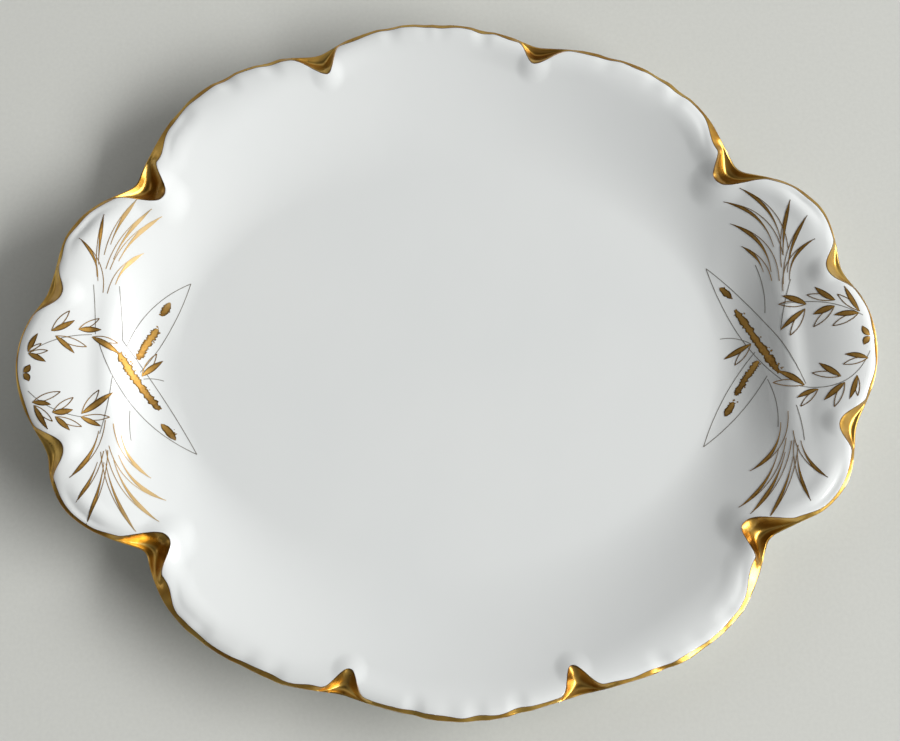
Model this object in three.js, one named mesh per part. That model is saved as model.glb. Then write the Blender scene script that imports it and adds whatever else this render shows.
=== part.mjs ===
// Oval porcelain platter with two tab handles, a scalloped rim and a gilt edge.
// Millimetres, +Z up. The foot ring stands on z = 0 and the handles lie along X.

import * as THREE from 'three';

// Outline from above: radius from the centre, and angle from the handle axis in degrees.
// A crown is the middle of a lobe, a notch is the dent between two lobes.
// The handle's own notches and shoulders are set back from its crown, so the tab moves as one.
const HANDLE_CROWN_RADIUS = 152.1;
const HANDLE_NOTCH_ANGLE = 12.2;
const HANDLE_NOTCH_SET_BACK = 5.8;
const SHOULDER_CROWN_ANGLE = 18.5;
const SHOULDER_SET_BACK = 6.1;
const CORNER_NOTCH_ANGLE = 32;
const CORNER_NOTCH_RADIUS = 129.6;
const BODY_CROWN_ANGLE = 48;
const BODY_CROWN_RADIUS = 134.6;
const SIDE_NOTCH_ANGLE = 70.7;
const SIDE_NOTCH_RADIUS = 124.7;
const SIDE_CROWN_RADIUS = 127.1;

// Scoops: a gilt hollow at each notch, between the ridge of the rim and its outer edge.
// reach is how far the ridge bends in, the spreads are its half widths in degrees,
// crestDrop lowers the ridge, edgeDrop lowers the outer edge, hollow is the depth between them.
const HANDLE_SCOOP = {
  angle: HANDLE_NOTCH_ANGLE, reach: 5.4, handleSpread: 4.0, sideSpread: 4.0,
  crestDrop: 1.0, edgeDrop: 1.4, hollow: 1.5,
};
const CORNER_SCOOP = {
  angle: CORNER_NOTCH_ANGLE, reach: 10.8, handleSpread: 5.0, sideSpread: 5.0,
  crestDrop: 3.0, edgeDrop: 2.0, hollow: 2.4,
};
const SIDE_SCOOP = {
  angle: SIDE_NOTCH_ANGLE, reach: 7.8, handleSpread: 4.8, sideSpread: 4.4,
  crestDrop: 1.6, edgeDrop: 1.5, hollow: 1.7,
};

// The gilding runs out from each corner scoop along the body lobe in a long tail
const TAIL_FROM_NOTCH = 6.5;
const TAIL_SPREAD = 6.0;
const TAIL_REACH = 2.4;

// Heights and the profile of the dish
const FOOT_HEIGHT = 3.0;
const FLOOR_THICKNESS = 4.0;
const CREST_HEIGHT = 18.0;
const HANDLE_LIFT = 5.8;
const HANDLE_LIFT_SPREAD = 34;
const FLOOR_HALF_LENGTH = 96;
const FLOOR_HALF_WIDTH = 72;
const WALL_RUN_LENGTH = 28;
const WALL_RUN_WIDTH = 41;
const WALL_TOP_BELOW_CREST = 2.6;
const WALL_TOP_SHARE_OF_LIFT = 0.42;
const WALL_TOP_SLOPE = 0.36;
const KNEE_TO_CREST = 9;
const WALL_THICKNESS = 4.2;

// The rolled rim: the crest lies inside the gilt line, and the edge turns down past it
const CREST_INSET = 3.0;
const CREST_FALL = 0.7;
const LIP_WIDTH = 1.1;
const LIP_FALL = 0.8;
const LIP_ROUND = 0.4;
const LIP_THICKNESS = 2.2;
const LIP_UNDERCUT = 0.7;

// Foot ring
const FOOT_INSET = 10;
const FOOT_WIDTH = 5.0;
const FOOT_DRAFT = 0.8;

// Gilding: a skin laid over the glaze, in strips that end just short of each other
const GILT_THICKNESS = 0.35;
const GILT_GAP = 0.05;
const GILT_END_CLEARANCE = 0.12;

const PORCELAIN_COLOUR = 0xf1f3f1;
const GILT_COLOUR = 0xc79a45;

const DEGREE = Math.PI / 180;
const QUARTER = 90;
const SLOPE_STEP = 0.01;
const WELL_HEIGHT = FOOT_HEIGHT + FLOOR_THICKNESS;
const WALL_TOP_HALF_LENGTH = FLOOR_HALF_LENGTH + WALL_RUN_LENGTH;
const WALL_TOP_HALF_WIDTH = FLOOR_HALF_WIDTH + WALL_RUN_WIDTH;
const HANDLE_NOTCH_RADIUS = HANDLE_CROWN_RADIUS - HANDLE_NOTCH_SET_BACK;
const SHOULDER_CROWN_RADIUS = HANDLE_CROWN_RADIUS - SHOULDER_SET_BACK;

// Rings of the cross section between its named points, as shares of the way
const WALL_STEPS = [0.3, 0.55, 0.8];
const GILT_STEPS = [0.3, 0.6];
const HALF_WAY = 0.5;
const UNDER_WALL_STEP = 0.55;
const GILT_FIRST = WALL_STEPS.length + 4;
const GILT_LAST = GILT_FIRST + GILT_STEPS.length + 3;

const CROWNS_AND_NOTCHES = [
  { angle: 0, radius: HANDLE_CROWN_RADIUS, crown: true },
  { angle: HANDLE_NOTCH_ANGLE, radius: HANDLE_NOTCH_RADIUS, crown: false },
  { angle: SHOULDER_CROWN_ANGLE, radius: SHOULDER_CROWN_RADIUS, crown: true },
  { angle: CORNER_NOTCH_ANGLE, radius: CORNER_NOTCH_RADIUS, crown: false },
  { angle: BODY_CROWN_ANGLE, radius: BODY_CROWN_RADIUS, crown: true },
  { angle: SIDE_NOTCH_ANGLE, radius: SIDE_NOTCH_RADIUS, crown: false },
  { angle: QUARTER, radius: SIDE_CROWN_RADIUS, crown: true },
];

const SCOOPS = [HANDLE_SCOOP, CORNER_SCOOP, SIDE_SCOOP];

// Rounded bump: 1 in the middle, 0 with no slope at both ends
function bump(x) {
  const inside = Math.max(0, 1 - x * x);
  return inside * inside;
}

// Cubic between two points with given end slopes
function hermite(x, x0, z0, slope0, x1, z1, slope1) {
  const run = x1 - x0;
  const t = (x - x0) / run;
  const rise = t * t * (3 - 2 * t);
  const lead = t * (1 - t) * (1 - t);
  const tail = t * t * (t - 1);
  return z0 + (z1 - z0) * rise + run * (slope0 * lead + slope1 * tail);
}

// Radius of an oval at an angle
function oval(halfLength, halfWidth, angle) {
  return 1 / Math.hypot(Math.cos(angle * DEGREE) / halfLength, Math.sin(angle * DEGREE) / halfWidth);
}

// Outer edge: from each crown the radius falls to the notch, half as a parabola and half as an S
function edgeRadius(angle) {
  const next = CROWNS_AND_NOTCHES.findIndex((key, i) => i > 0 && angle <= key.angle);
  const a = CROWNS_AND_NOTCHES[next - 1];
  const b = CROWNS_AND_NOTCHES[next];
  const [crown, notch] = a.crown ? [a, b] : [b, a];
  const t = (angle - crown.angle) / (notch.angle - crown.angle);
  const parabola = 1 - t * t;
  const ess = 1 - t * t * (3 - 2 * t);
  return notch.radius + (crown.radius - notch.radius) * (parabola + ess) / 2;
}

// How much of a scoop is felt at an angle, 0 to 1
function scoopShare(scoop, angle) {
  const spread = angle < scoop.angle ? scoop.handleSpread : scoop.sideSpread;
  return bump((angle - scoop.angle) / spread);
}

function scoopSum(angle, field) {
  return SCOOPS.reduce((sum, scoop) => sum + scoop[field] * scoopShare(scoop, angle), 0);
}

// Every size of the cross section at one angle of the quarter
function section(angle) {
  const edge = edgeRadius(angle);
  const tail = TAIL_REACH * bump((angle - CORNER_NOTCH_ANGLE - TAIL_FROM_NOTCH) / TAIL_SPREAD);
  const ridge = edge - LIP_WIDTH - tail - scoopSum(angle, 'reach');
  const crest = ridge - CREST_INSET;
  const lift = HANDLE_LIFT * bump(angle / HANDLE_LIFT_SPREAD);
  const plainZ = CREST_HEIGHT + lift;
  const crestZ = plainZ - scoopSum(angle, 'crestDrop');
  const ridgeZ = crestZ - CREST_FALL;
  const floor = oval(FLOOR_HALF_LENGTH, FLOOR_HALF_WIDTH, angle);
  const wallTop = oval(WALL_TOP_HALF_LENGTH, WALL_TOP_HALF_WIDTH, angle);
  const wallTopZ = CREST_HEIGHT - WALL_TOP_BELOW_CREST + WALL_TOP_SHARE_OF_LIFT * lift;
  const knee = Math.min(wallTop, crest - KNEE_TO_CREST);
  return {
    edge, ridge, crest, crestZ, ridgeZ, floor, wallTop, wallTopZ, knee,
    edgeZ: ridgeZ - LIP_FALL - scoopSum(angle, 'edgeDrop'),
    hollow: scoopSum(angle, 'hollow'),
  };
}

// The plain wall of the dish above its floor, as it runs where no scoop bends it
function wallZ(s, radius) {
  return hermite(radius, s.floor, WELL_HEIGHT, 0, s.wallTop, s.wallTopZ, WALL_TOP_SLOPE);
}

// Height of the upper face at a radius of one cross section
function upperZ(s, radius) {
  if (radius <= s.floor) return WELL_HEIGHT;
  if (radius <= s.knee) return wallZ(s, radius);
  if (radius <= s.crest) {
    const kneeZ = wallZ(s, s.knee);
    const kneeSlope = (kneeZ - wallZ(s, s.knee - SLOPE_STEP)) / SLOPE_STEP;
    return hermite(radius, s.knee, kneeZ, kneeSlope, s.crest, s.crestZ, 0);
  }
  if (radius <= s.ridge) {
    const t = (radius - s.crest) / (s.ridge - s.crest);
    return s.crestZ - CREST_FALL * t * t;
  }
  const t = (radius - s.ridge) / (s.edge - s.ridge);
  return s.ridgeZ + (s.edgeZ - s.ridgeZ) * t - s.hollow * 4 * t * (1 - t);
}

// One cross section as [radius, z] points: over the top from the floor to the edge, back below
function profile(s) {
  const mix = (a, b, t) => a + (b - a) * t;
  const upper = (radius) => [radius, upperZ(s, radius)];
  const lower = (radius) => [radius, upperZ(s, radius) - WALL_THICKNESS];
  const foot = s.floor - FOOT_INSET;
  return [
    upper(s.floor),
    ...WALL_STEPS.map((t) => upper(mix(s.floor, s.knee, t))),
    upper(s.knee),
    upper(mix(s.knee, s.crest, HALF_WAY)),
    upper(s.crest),
    upper(s.ridge),
    ...GILT_STEPS.map((t) => upper(mix(s.ridge, s.edge, t))),
    upper(s.edge - LIP_ROUND),
    [s.edge, s.edgeZ - LIP_ROUND],
    [s.edge - LIP_UNDERCUT, s.edgeZ - LIP_THICKNESS],
    lower(mix(s.crest, s.edge, HALF_WAY)),
    lower(s.crest),
    lower(s.knee),
    lower(mix(s.floor, s.knee, UNDER_WALL_STEP)),
    [s.floor, FOOT_HEIGHT],
    [foot, FOOT_HEIGHT],
    [foot - FOOT_DRAFT, 0],
    [foot - FOOT_WIDTH + FOOT_DRAFT, 0],
    [foot - FOOT_WIDTH, FOOT_HEIGHT],
  ];
}

// Stretches of one quarter, from the handle axis to the side: lobes and the scoops between them
const STRETCHES = [
  { name: 'edge_handle', to: HANDLE_SCOOP.angle - HANDLE_SCOOP.handleSpread, columns: 5 },
  { name: 'scoop_handle', to: HANDLE_SCOOP.angle, columns: 3 },
  { name: 'scoop_handle', to: HANDLE_SCOOP.angle + HANDLE_SCOOP.sideSpread, columns: 3 },
  { name: 'edge_shoulder', to: CORNER_SCOOP.angle - CORNER_SCOOP.handleSpread, columns: 5 },
  { name: 'scoop_corner', to: CORNER_SCOOP.angle, columns: 5 },
  { name: 'scoop_corner', to: CORNER_SCOOP.angle + CORNER_SCOOP.sideSpread, columns: 5 },
  { name: 'edge_body', to: SIDE_SCOOP.angle - SIDE_SCOOP.handleSpread, columns: 11 },
  { name: 'scoop_side', to: SIDE_SCOOP.angle, columns: 3 },
  { name: 'scoop_side', to: SIDE_SCOOP.angle + SIDE_SCOOP.sideSpread, columns: 3 },
  { name: 'edge_side', to: QUARTER, columns: 4 },
];

// Angles of the quarter, each with the stretch that starts there
function quarterColumns() {
  const columns = [];
  let from = 0;
  for (const stretch of STRETCHES) {
    for (let i = 0; i < stretch.columns; i++) {
      const angle = from + (stretch.to - from) * i / stretch.columns;
      columns.push({ angle, name: stretch.name });
    }
    from = stretch.to;
  }
  return columns;
}

// All round the platter, counter-clockwise from the right handle, by mirroring the quarter
function allColumns() {
  const quarter = quarterColumns();
  const count = quarter.length;
  const columns = [];
  for (let i = 0; i < 4 * count; i++) {
    const turn = Math.floor(i / count);
    const step = i % count;
    const mirrored = turn % 2 === 1;
    const back = turn < 2 ? 'back' : 'front';
    const side = turn === 0 || turn === 3 ? 'right' : 'left';
    const fold = mirrored ? (step === 0 ? QUARTER : quarter[count - step].angle) : quarter[step].angle;
    const angle = mirrored ? (turn + 1) * QUARTER - fold : turn * QUARTER + fold;
    const stretch = mirrored ? quarter[count - 1 - step].name : quarter[step].name;
    columns.push({ angle, fold, name: pieceName(stretch, side, back) });
  }
  return columns;
}

// The lobes on an axis belong to two quarters and carry one place name, the others two
function pieceName(stretch, side, back) {
  if (stretch === 'edge_handle') return `gilt_${stretch}_${side}`;
  if (stretch === 'edge_side') return `gilt_${stretch}_${back}`;
  return `gilt_${stretch}_${side}_${back}`;
}

const columns = allColumns();
const COUNT = columns.length;
const profiles = columns.map((column) => profile(section(column.fold)));
const RINGS = profiles[0].length;

function point(column, ring) {
  const [radius, z] = profiles[column][ring];
  const angle = columns[column].angle * DEGREE;
  return new THREE.Vector3(radius * Math.cos(angle), radius * Math.sin(angle), z);
}

function geometryFrom(points, triangles) {
  const geometry = new THREE.BufferGeometry();
  geometry.setAttribute('position', new THREE.Float32BufferAttribute(points.flatMap((p) => p.toArray()), 3));
  geometry.setIndex(triangles);
  geometry.computeVertexNormals();
  return geometry;
}

// The porcelain: rings swept round the platter, closed by a fan at the floor and one below it
function bodyGeometry() {
  const points = [];
  for (let i = 0; i < COUNT; i++) {
    for (let k = 0; k < RINGS; k++) points.push(point(i, k));
  }
  const at = (i, k) => (i % COUNT) * RINGS + k;
  const top = points.push(new THREE.Vector3(0, 0, WELL_HEIGHT)) - 1;
  const bottom = points.push(new THREE.Vector3(0, 0, FOOT_HEIGHT)) - 1;
  const triangles = [];
  for (let i = 0; i < COUNT; i++) {
    triangles.push(top, at(i, 0), at(i + 1, 0));
    for (let k = 0; k + 1 < RINGS; k++) {
      triangles.push(at(i, k), at(i, k + 1), at(i + 1, k + 1));
      triangles.push(at(i, k), at(i + 1, k + 1), at(i + 1, k));
    }
    triangles.push(bottom, at(i + 1, RINGS - 1), at(i, RINGS - 1));
  }
  return geometryFrom(points, triangles);
}

const body = bodyGeometry();

// A place on the body's faces in the gilt band, with the way out of the surface there
function place(column, ring) {
  const index = (column % COUNT) * RINGS + ring;
  const normal = new THREE.Vector3().fromBufferAttribute(body.attributes.normal, index);
  return { spot: point(column % COUNT, ring), normal };
}

function between(a, b, share) {
  return {
    spot: a.spot.clone().lerp(b.spot, share),
    normal: a.normal.clone().lerp(b.normal, share).normalize(),
  };
}

// A gilt piece: two layers over the same faces of the body, joined all round
function giltGeometry(first, last) {
  const rows = [];
  for (let k = GILT_FIRST; k <= GILT_LAST; k++) {
    const row = [];
    for (let i = first; i <= last; i++) row.push(place(i, k));
    rows.push(row);
  }
  const share = (a, b) => GILT_END_CLEARANCE / a.spot.distanceTo(b.spot);
  const end = last - first;
  const startShare = share(rows[0][0], rows[0][1]);
  const endShare = share(rows[0][end], rows[0][end - 1]);
  for (const row of rows) {
    row[0] = between(row[0], row[1], startShare);
    row[end] = between(row[end], row[end - 1], endShare);
  }
  const points = [];
  for (const offset of [GILT_GAP, GILT_GAP + GILT_THICKNESS]) {
    for (const row of rows) {
      for (const { spot, normal } of row) points.push(spot.clone().addScaledVector(normal, offset));
    }
  }
  const wide = end + 1;
  const layer = rows.length * wide;
  const inner = (k, i) => k * wide + i;
  const outer = (k, i) => layer + k * wide + i;
  const triangles = [];
  const quad = (a, b, c, d) => triangles.push(a, b, c, a, c, d);
  for (let k = 0; k + 1 < rows.length; k++) {
    for (let i = 0; i < end; i++) {
      quad(outer(k, i), outer(k + 1, i), outer(k + 1, i + 1), outer(k, i + 1));
      quad(inner(k, i), inner(k, i + 1), inner(k + 1, i + 1), inner(k + 1, i));
    }
    quad(inner(k, 0), inner(k + 1, 0), outer(k + 1, 0), outer(k, 0));
    quad(inner(k + 1, end), inner(k, end), outer(k, end), outer(k + 1, end));
  }
  const low = rows.length - 1;
  for (let i = 0; i < end; i++) {
    quad(inner(0, i + 1), inner(0, i), outer(0, i), outer(0, i + 1));
    quad(inner(low, i), inner(low, i + 1), outer(low, i + 1), outer(low, i));
  }
  return geometryFrom(points, triangles);
}

function solid(name, geometry, colour, roughness, metalness) {
  const mesh = new THREE.Mesh(geometry, new THREE.MeshStandardMaterial({ color: colour, roughness, metalness }));
  mesh.name = name;
  return mesh;
}

const platter = new THREE.Group();
platter.name = 'platter';
platter.add(solid('porcelain_body', body, PORCELAIN_COLOUR, 0.12, 0));

// Runs of columns with one name make one gilt piece; the walk starts at a scoop, so no run is cut
const start = columns.findIndex((column, i) => i > 0 && column.name !== columns[i - 1].name);
for (let i = start; i < start + COUNT;) {
  const name = columns[i % COUNT].name;
  let last = i;
  while (columns[last % COUNT].name === name) last += 1;
  platter.add(solid(name, giltGeometry(i, last), GILT_COLOUR, 0.25, 1));
  i = last;
}

export default platter;
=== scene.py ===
# %% [markdown]
# # An oval porcelain platter with a gilt edge
#
# The real platter is one pressed and glazed piece of porcelain. Gold is brushed on its edge, lobe by
# lobe, and into the dents between the lobes, and thin gold sprigs are painted on both handles.
# The lesson loads the plain solids, makes a finer body over them, lays the gold on as pieces of its
# own, paints the handles, and then sets up the materials, the table, the light and the camera.

# %% The frame
import math
import random
from collections import namedtuple
import bpy
from mathutils import Matrix, Vector


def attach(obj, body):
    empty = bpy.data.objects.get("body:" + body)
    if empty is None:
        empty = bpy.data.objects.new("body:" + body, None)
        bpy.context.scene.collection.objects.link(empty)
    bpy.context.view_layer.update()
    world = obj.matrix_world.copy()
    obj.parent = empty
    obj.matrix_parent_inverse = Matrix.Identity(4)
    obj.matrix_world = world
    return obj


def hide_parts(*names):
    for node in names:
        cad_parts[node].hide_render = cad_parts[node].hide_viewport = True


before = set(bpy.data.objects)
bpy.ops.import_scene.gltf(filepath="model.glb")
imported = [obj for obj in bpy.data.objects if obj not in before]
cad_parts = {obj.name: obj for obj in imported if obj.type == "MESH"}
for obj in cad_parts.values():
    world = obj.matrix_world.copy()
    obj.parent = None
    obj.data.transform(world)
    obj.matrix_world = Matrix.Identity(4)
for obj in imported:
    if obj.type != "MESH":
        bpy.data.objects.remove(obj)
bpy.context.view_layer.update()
MM = 0.001
print("solids loaded:", len(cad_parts))

# %% [markdown]
# ## The form of the mould
#
# A potter would cut a plaster mould to this form. It is written as the solids are: the outline swings
# between crowns, the middles of the lobes, and notches, the dents between them, and every cross
# section runs from the flat floor up a curved wall to the crest of the rim and down over its lip.
# One quarter holds the even form, because the other three mirror it. A hand pressed the real one, so
# small shifts are added all the way round. The form could be sculpted with soft brushes instead, but
# numbers keep it on the solids and let the gold and the paint ask for the height at any place.

# %% Sizes of the platter, in millimetres and degrees
CROWNS_AND_NOTCHES = [
    (0, 152.1), (12.2, 146.0), (18.5, 146.0), (32, 128.9), (48, 134.6), (70.7, 124.4), (90, 127.1),
]
# how far the outline is evened out at the gold's inner border and at the outer edge
INNER_EVENING, OUTER_EVENING = 1.8, 1
# where a scoop is, how far in it reaches, how wide it spreads both ways, how far it lowers the edge, how
# hollow it is, the swelling at its tip with its half width, and how blunt the tip is
Scoop = namedtuple("Scoop", "at reach to_handle to_side drop hollow swell swell_half blunt")
SCOOPS = [
    Scoop(12.2, 6.4, 4.1, 3.9, 1.7, 1.1, 0.9, 6.2, 2.1),
    Scoop(32.0, 10.2, 4.2, 4.6, 2.8, 3.6, 1.5, 10.5, 2.5),
    Scoop(70.7, 7.6, 5.2, 3.7, 1.8, 2.4, 0.8, 6.8, 1.9),
]
SIDE_SCOOP = SCOOPS[2]
# the edge goes down over a wider stretch than the gold reaches in, and the hollow leans to the edge
DROP_SPREAD, HOLLOW_LEAN = 1.35, 1.6
# the two side scoops at the front are narrow bells that spread alike both ways
FRONT_SIDE_SPREAD, FRONT_SIDE_BLUNT, FRONT_SIDE_TAPER = 4.3, 2.3, 2.4
# the gold runs out of a corner scoop along the edge: angle, spread and reach of each tail
TAILS = [(37.6, 5.0, 2.4), (28.3, 4.0, 0.9)]
FOOT_HEIGHT, WELL_HEIGHT, CREST_HEIGHT = 3.0, 7.0, 18.0
HANDLE_LIFT, HANDLE_LIFT_SPREAD = 5.8, 34
FLOOR_HALF_LENGTH, FLOOR_HALF_WIDTH = 96, 72
WALL_TOP_HALF_LENGTH, WALL_TOP_HALF_WIDTH = 124, 113
WALL_TOP_BELOW_CREST, WALL_TOP_SHARE_OF_LIFT, WALL_TOP_SLOPE = 2.6, 0.42, 0.36
KNEE_TO_CREST, BEND_TO_CREST, WALL_THICKNESS = 9, 8, 4.2
CREST_INSET, CREST_FALL, LIP_WIDTH, LIP_FALL = 3.0, 0.7, 1.1, 0.8
LIP_ROUND, LIP_THICKNESS, LIP_UNDERCUT = 0.4, 2.2, 0.7
# the foot ring, in from the border of the floor
FOOT_INSET, FOOT_WIDTH = 10, 5.0
# the gold line is finer on the handles, and the brush made it uneven, in quick waves that wander slowly
EDGE_FINER, EDGE_FINER_SPREAD = 0.6, 33
BRUSH_MEAN, BRUSH_SWING, BRUSH_QUICK, BRUSH_WANDER, BRUSH_SLOW = 0.25, 0.28, 0.7, 2, 0.23
# the band where the wall of the dish turns into a handle: a round rise and a dip below it
BAND_AT, BAND_HALF_WIDTH, BAND_HALF_LENGTH, BAND_RISE = 120.5, 7, 54, 1.4
DIP_AT, DIP_HALF_WIDTH, DIP_HALF_LENGTH, DIP_DEPTH = 108, 11, 58, 0.9
# a groove inside the edge, where the lobes next to a corner notch are rolled: angle, spread and force
GROOVES = [(22.0, 6.0, 1.0), (43.0, 7.5, 0.35)]
GROOVE_DEPTH, GROOVE_AT, GROOVE_HALF_WIDTH = 0.6, 2.3, 2.3
ROLL_RISE, ROLL_AT, ROLL_HALF_WIDTH = 0.6, 6.5, 4.5
# the clay was pressed by hand, so the edge stands further out or in than it should: angle and way out
HAND = [
    (0, -0.6), (6, -0.8), (11, -1.6), (15, -0.4), (20, 0.6), (25, 1.4), (29, 0.6), (32, -0.9), (37, -1.8),
    (41, -1.3), (49, -1.8), (56, -1.2), (64, -0.8), (76, -0.9), (84, -0.4), (90, 0), (98, 1.1), (105, 0.6),
    (110, -0.2), (116, 0.5), (122, 0), (142, 0.2), (146, 0.9), (150, 0.2), (155, -1), (160, -2.4),
    (165, -3), (169, -2.4), (173, -1), (180, -0.3), (186, -0.3), (192, -1.6), (196, -0.3), (202, -1),
    (207, -1.4),
    (211, -2.7), (214, -1.5), (219, -0.4), (224, -1.2), (229, -2.4), (236, -2.3), (241, -0.5), (250, 0),
    (260, 0.3), (267, 1.1), (281, 1.3), (289, 2.2), (296, 1.6), (305, 1.3), (310, 0.7), (315, 1.3),
    (321, 0.5), (326, -0.3), (329, -0.2), (332, 0.5), (335, 1.7), (339, 0.9), (343, 0.2), (348, -0.8),
    (354, -0.1),
]
# the scoops' tips follow the hand less than the edge, and the dish starts to follow it on the wall
TIP_HELD, HAND_FROM, HAND_OVER = 0.7, 95, 30
# some scoops sit a little to one side: angle, shift and spread
DRIFTS = [
    (11, 1.2, 8), (72.2, -1.5, 14), (110.4, -1.1, 14), (169, -1.2, 8), (211, 1, 9), (250.1, 0.6, 14),
    (288.3, 1, 14),
]
# small pinches of the rim, set by hand, so no two are quite alike: angle, least and most force
CRIMP_SPREAD, CRIMP_IN, CRIMP_DOWN, CRIMP_FADE, CRIMP_STRAY = 2.1, 0.45, 0.75, 9, 1.4
PINCHED = [
    (22.4, 0.1, 0.35), (46.5, 0.4, 1), (53.5, 0.4, 1), (60, 0.4, 1), (82.5, 0.3, 0.8), (88, 0.3, 0.8),
]
random.seed(5)
CRIMPS = []
for place, least, most in PINCHED:
    for angle in (place, 180 - place, 180 + place, 360 - place):
        CRIMPS.append((angle + random.uniform(-CRIMP_STRAY, CRIMP_STRAY), random.uniform(least, most)))
print("scoops", 4 * len(SCOOPS), "pinches", len(CRIMPS))


# %% Height of the upper face
def bump(x):
    return max(0.0, 1 - x * x) ** 2


def bulb(x, blunt):
    return max(0.0, 1 - abs(x) ** blunt) ** 2


def trough(u):
    return 2 * u * (1 - u) + 8 * (u * (1 - u)) ** 2


def mix(a, b, t):
    return a + (b - a) * t


def hermite(x, x0, z0, slope0, x1, z1, slope1):
    run = x1 - x0
    t = (x - x0) / run
    rise = t * t * (3 - 2 * t)
    return z0 + (z1 - z0) * rise + run * (slope0 * t * (1 - t) ** 2 + slope1 * t * t * (t - 1))


def fold(angle):
    angle = angle % 360
    angle = 360 - angle if angle > 180 else angle
    return 180 - angle if angle > 90 else angle


def oval(half_length, half_width, angle):
    turn = math.radians(angle)
    return 1 / math.hypot(math.cos(turn) / half_length, math.sin(turn) / half_width)


def plain_edge(angle):
    for k in range(len(CROWNS_AND_NOTCHES) - 1):
        if angle <= CROWNS_AND_NOTCHES[k + 1][0]:
            break
    crown, notch = CROWNS_AND_NOTCHES[k], CROWNS_AND_NOTCHES[k + 1]
    if k % 2:
        crown, notch = notch, crown
    t = (angle - crown[0]) / (notch[0] - crown[0])
    fall = ((1 - t * t) + (1 - t * t * (3 - 2 * t))) / 2
    return notch[1] + (crown[1] - notch[1]) * fall


def edge_radius(angle, spread):
    return sum(plain_edge(fold(angle + step * spread)) for step in (-1, -0.5, 0, 0.5, 1)) / 5


def by_hand_out(around):
    around = around % 360
    turns = [(at + turn, out) for turn in (-360, 0, 360) for at, out in HAND]
    k = next(k for k in range(len(turns)) if around < turns[k + 1][0])
    (x0, z0), (x1, z1), (x2, z2), (x3, z3) = turns[k - 1:k + 3]
    return hermite(around, x1, z1, (z2 - z0) / (x2 - x0), x2, z2, (z3 - z1) / (x3 - x1))


def drift(around):
    return sum(shift * bump((around % 360 - at) / spread) for at, shift, spread in DRIFTS)


# the inner tip of each scoop, round which the porcelain swells
TIPS = []
for scoop in SCOOPS:
    radius = edge_radius(scoop.at, INNER_EVENING) - LIP_WIDTH - scoop.reach
    turn = math.radians(scoop.at)
    TIPS.append((radius * math.cos(turn), radius * math.sin(turn), scoop.swell, scoop.swell_half))


def front_side(scoop, around):
    return scoop == SIDE_SCOOP and around % 360 > 180


def spread_of(scoop, angle, around):
    if front_side(scoop, around):
        return FRONT_SIDE_SPREAD
    return scoop.to_handle if angle < scoop.at else scoop.to_side


def share_of(scoop, x, around):
    if front_side(scoop, around):
        return bulb(x, FRONT_SIDE_BLUNT) ** FRONT_SIDE_TAPER
    return bulb(x, scoop.blunt)


def brushed_in(around):
    wander = BRUSH_WANDER * math.sin(around * BRUSH_SLOW)
    return BRUSH_MEAN + BRUSH_SWING * math.sin(around * BRUSH_QUICK + wander)


def section(around):
    angle = fold(around + drift(around))
    off = [(angle - scoop.at) / spread_of(scoop, angle, around) for scoop in SCOOPS]
    share = [share_of(scoop, x, around) for x, scoop in zip(off, SCOOPS)]
    fade = [bump(x / DROP_SPREAD) for x in off]
    reach = sum(w * scoop.reach for w, scoop in zip(share, SCOOPS))
    drop = sum(w * scoop.drop for w, scoop in zip(fade, SCOOPS))
    hollow = sum(w * scoop.hollow for w, scoop in zip(fade, SCOOPS))
    crimp = max(force * bump((around % 360 - at) / CRIMP_SPREAD) for at, force in CRIMPS)
    s = {"turn": math.radians(angle), "crimp": crimp, "hollow": hollow, "hand": by_hand_out(around)}
    evened = edge_radius(angle, INNER_EVENING)
    plain = evened + s["hand"] * (1 - TIP_HELD * sum(share))
    s["groove"] = sum(force * bump((angle - at) / spread) for at, spread, force in GROOVES)
    lift = HANDLE_LIFT * bump(angle / HANDLE_LIFT_SPREAD)
    s["plain_z"] = CREST_HEIGHT + lift
    s["wall_top_z"] = CREST_HEIGHT - WALL_TOP_BELOW_CREST + WALL_TOP_SHARE_OF_LIFT * lift
    s["floor"] = oval(FLOOR_HALF_LENGTH, FLOOR_HALF_WIDTH, angle)
    s["wall_top"] = oval(WALL_TOP_HALF_LENGTH, WALL_TOP_HALF_WIDTH, angle)
    s["brim"] = evened + s["hand"] - LIP_WIDTH - CREST_INSET
    s["knee"] = min(s["wall_top"], s["brim"] - KNEE_TO_CREST)
    s["knee_z"] = wall_z(s, s["knee"])
    step = 0.01
    s["knee_slope"] = (s["knee_z"] - wall_z(s, s["knee"] - step)) / step
    s["edge"] = edge_radius(angle, OUTER_EVENING) + s["hand"] - CRIMP_IN * crimp
    tail = sum(far * bump((angle - at) / spread) for at, spread, far in TAILS)
    fine = EDGE_FINER * bump(angle / EDGE_FINER_SPREAD)
    s["ridge"] = plain - CRIMP_IN * crimp - LIP_WIDTH + fine - tail - reach - brushed_in(around)
    s["crest"] = s["ridge"] - CREST_INSET
    s["bend"] = min(s["knee"], s["crest"] - BEND_TO_CREST)
    s["ridge_z"] = inner_z(s, s["ridge"])
    s["edge_z"] = s["plain_z"] - CREST_FALL - LIP_FALL - drop
    return s


def wall_z(s, radius):
    return hermite(radius, s["floor"], WELL_HEIGHT, 0, s["wall_top"], s["wall_top_z"], WALL_TOP_SLOPE)


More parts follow.
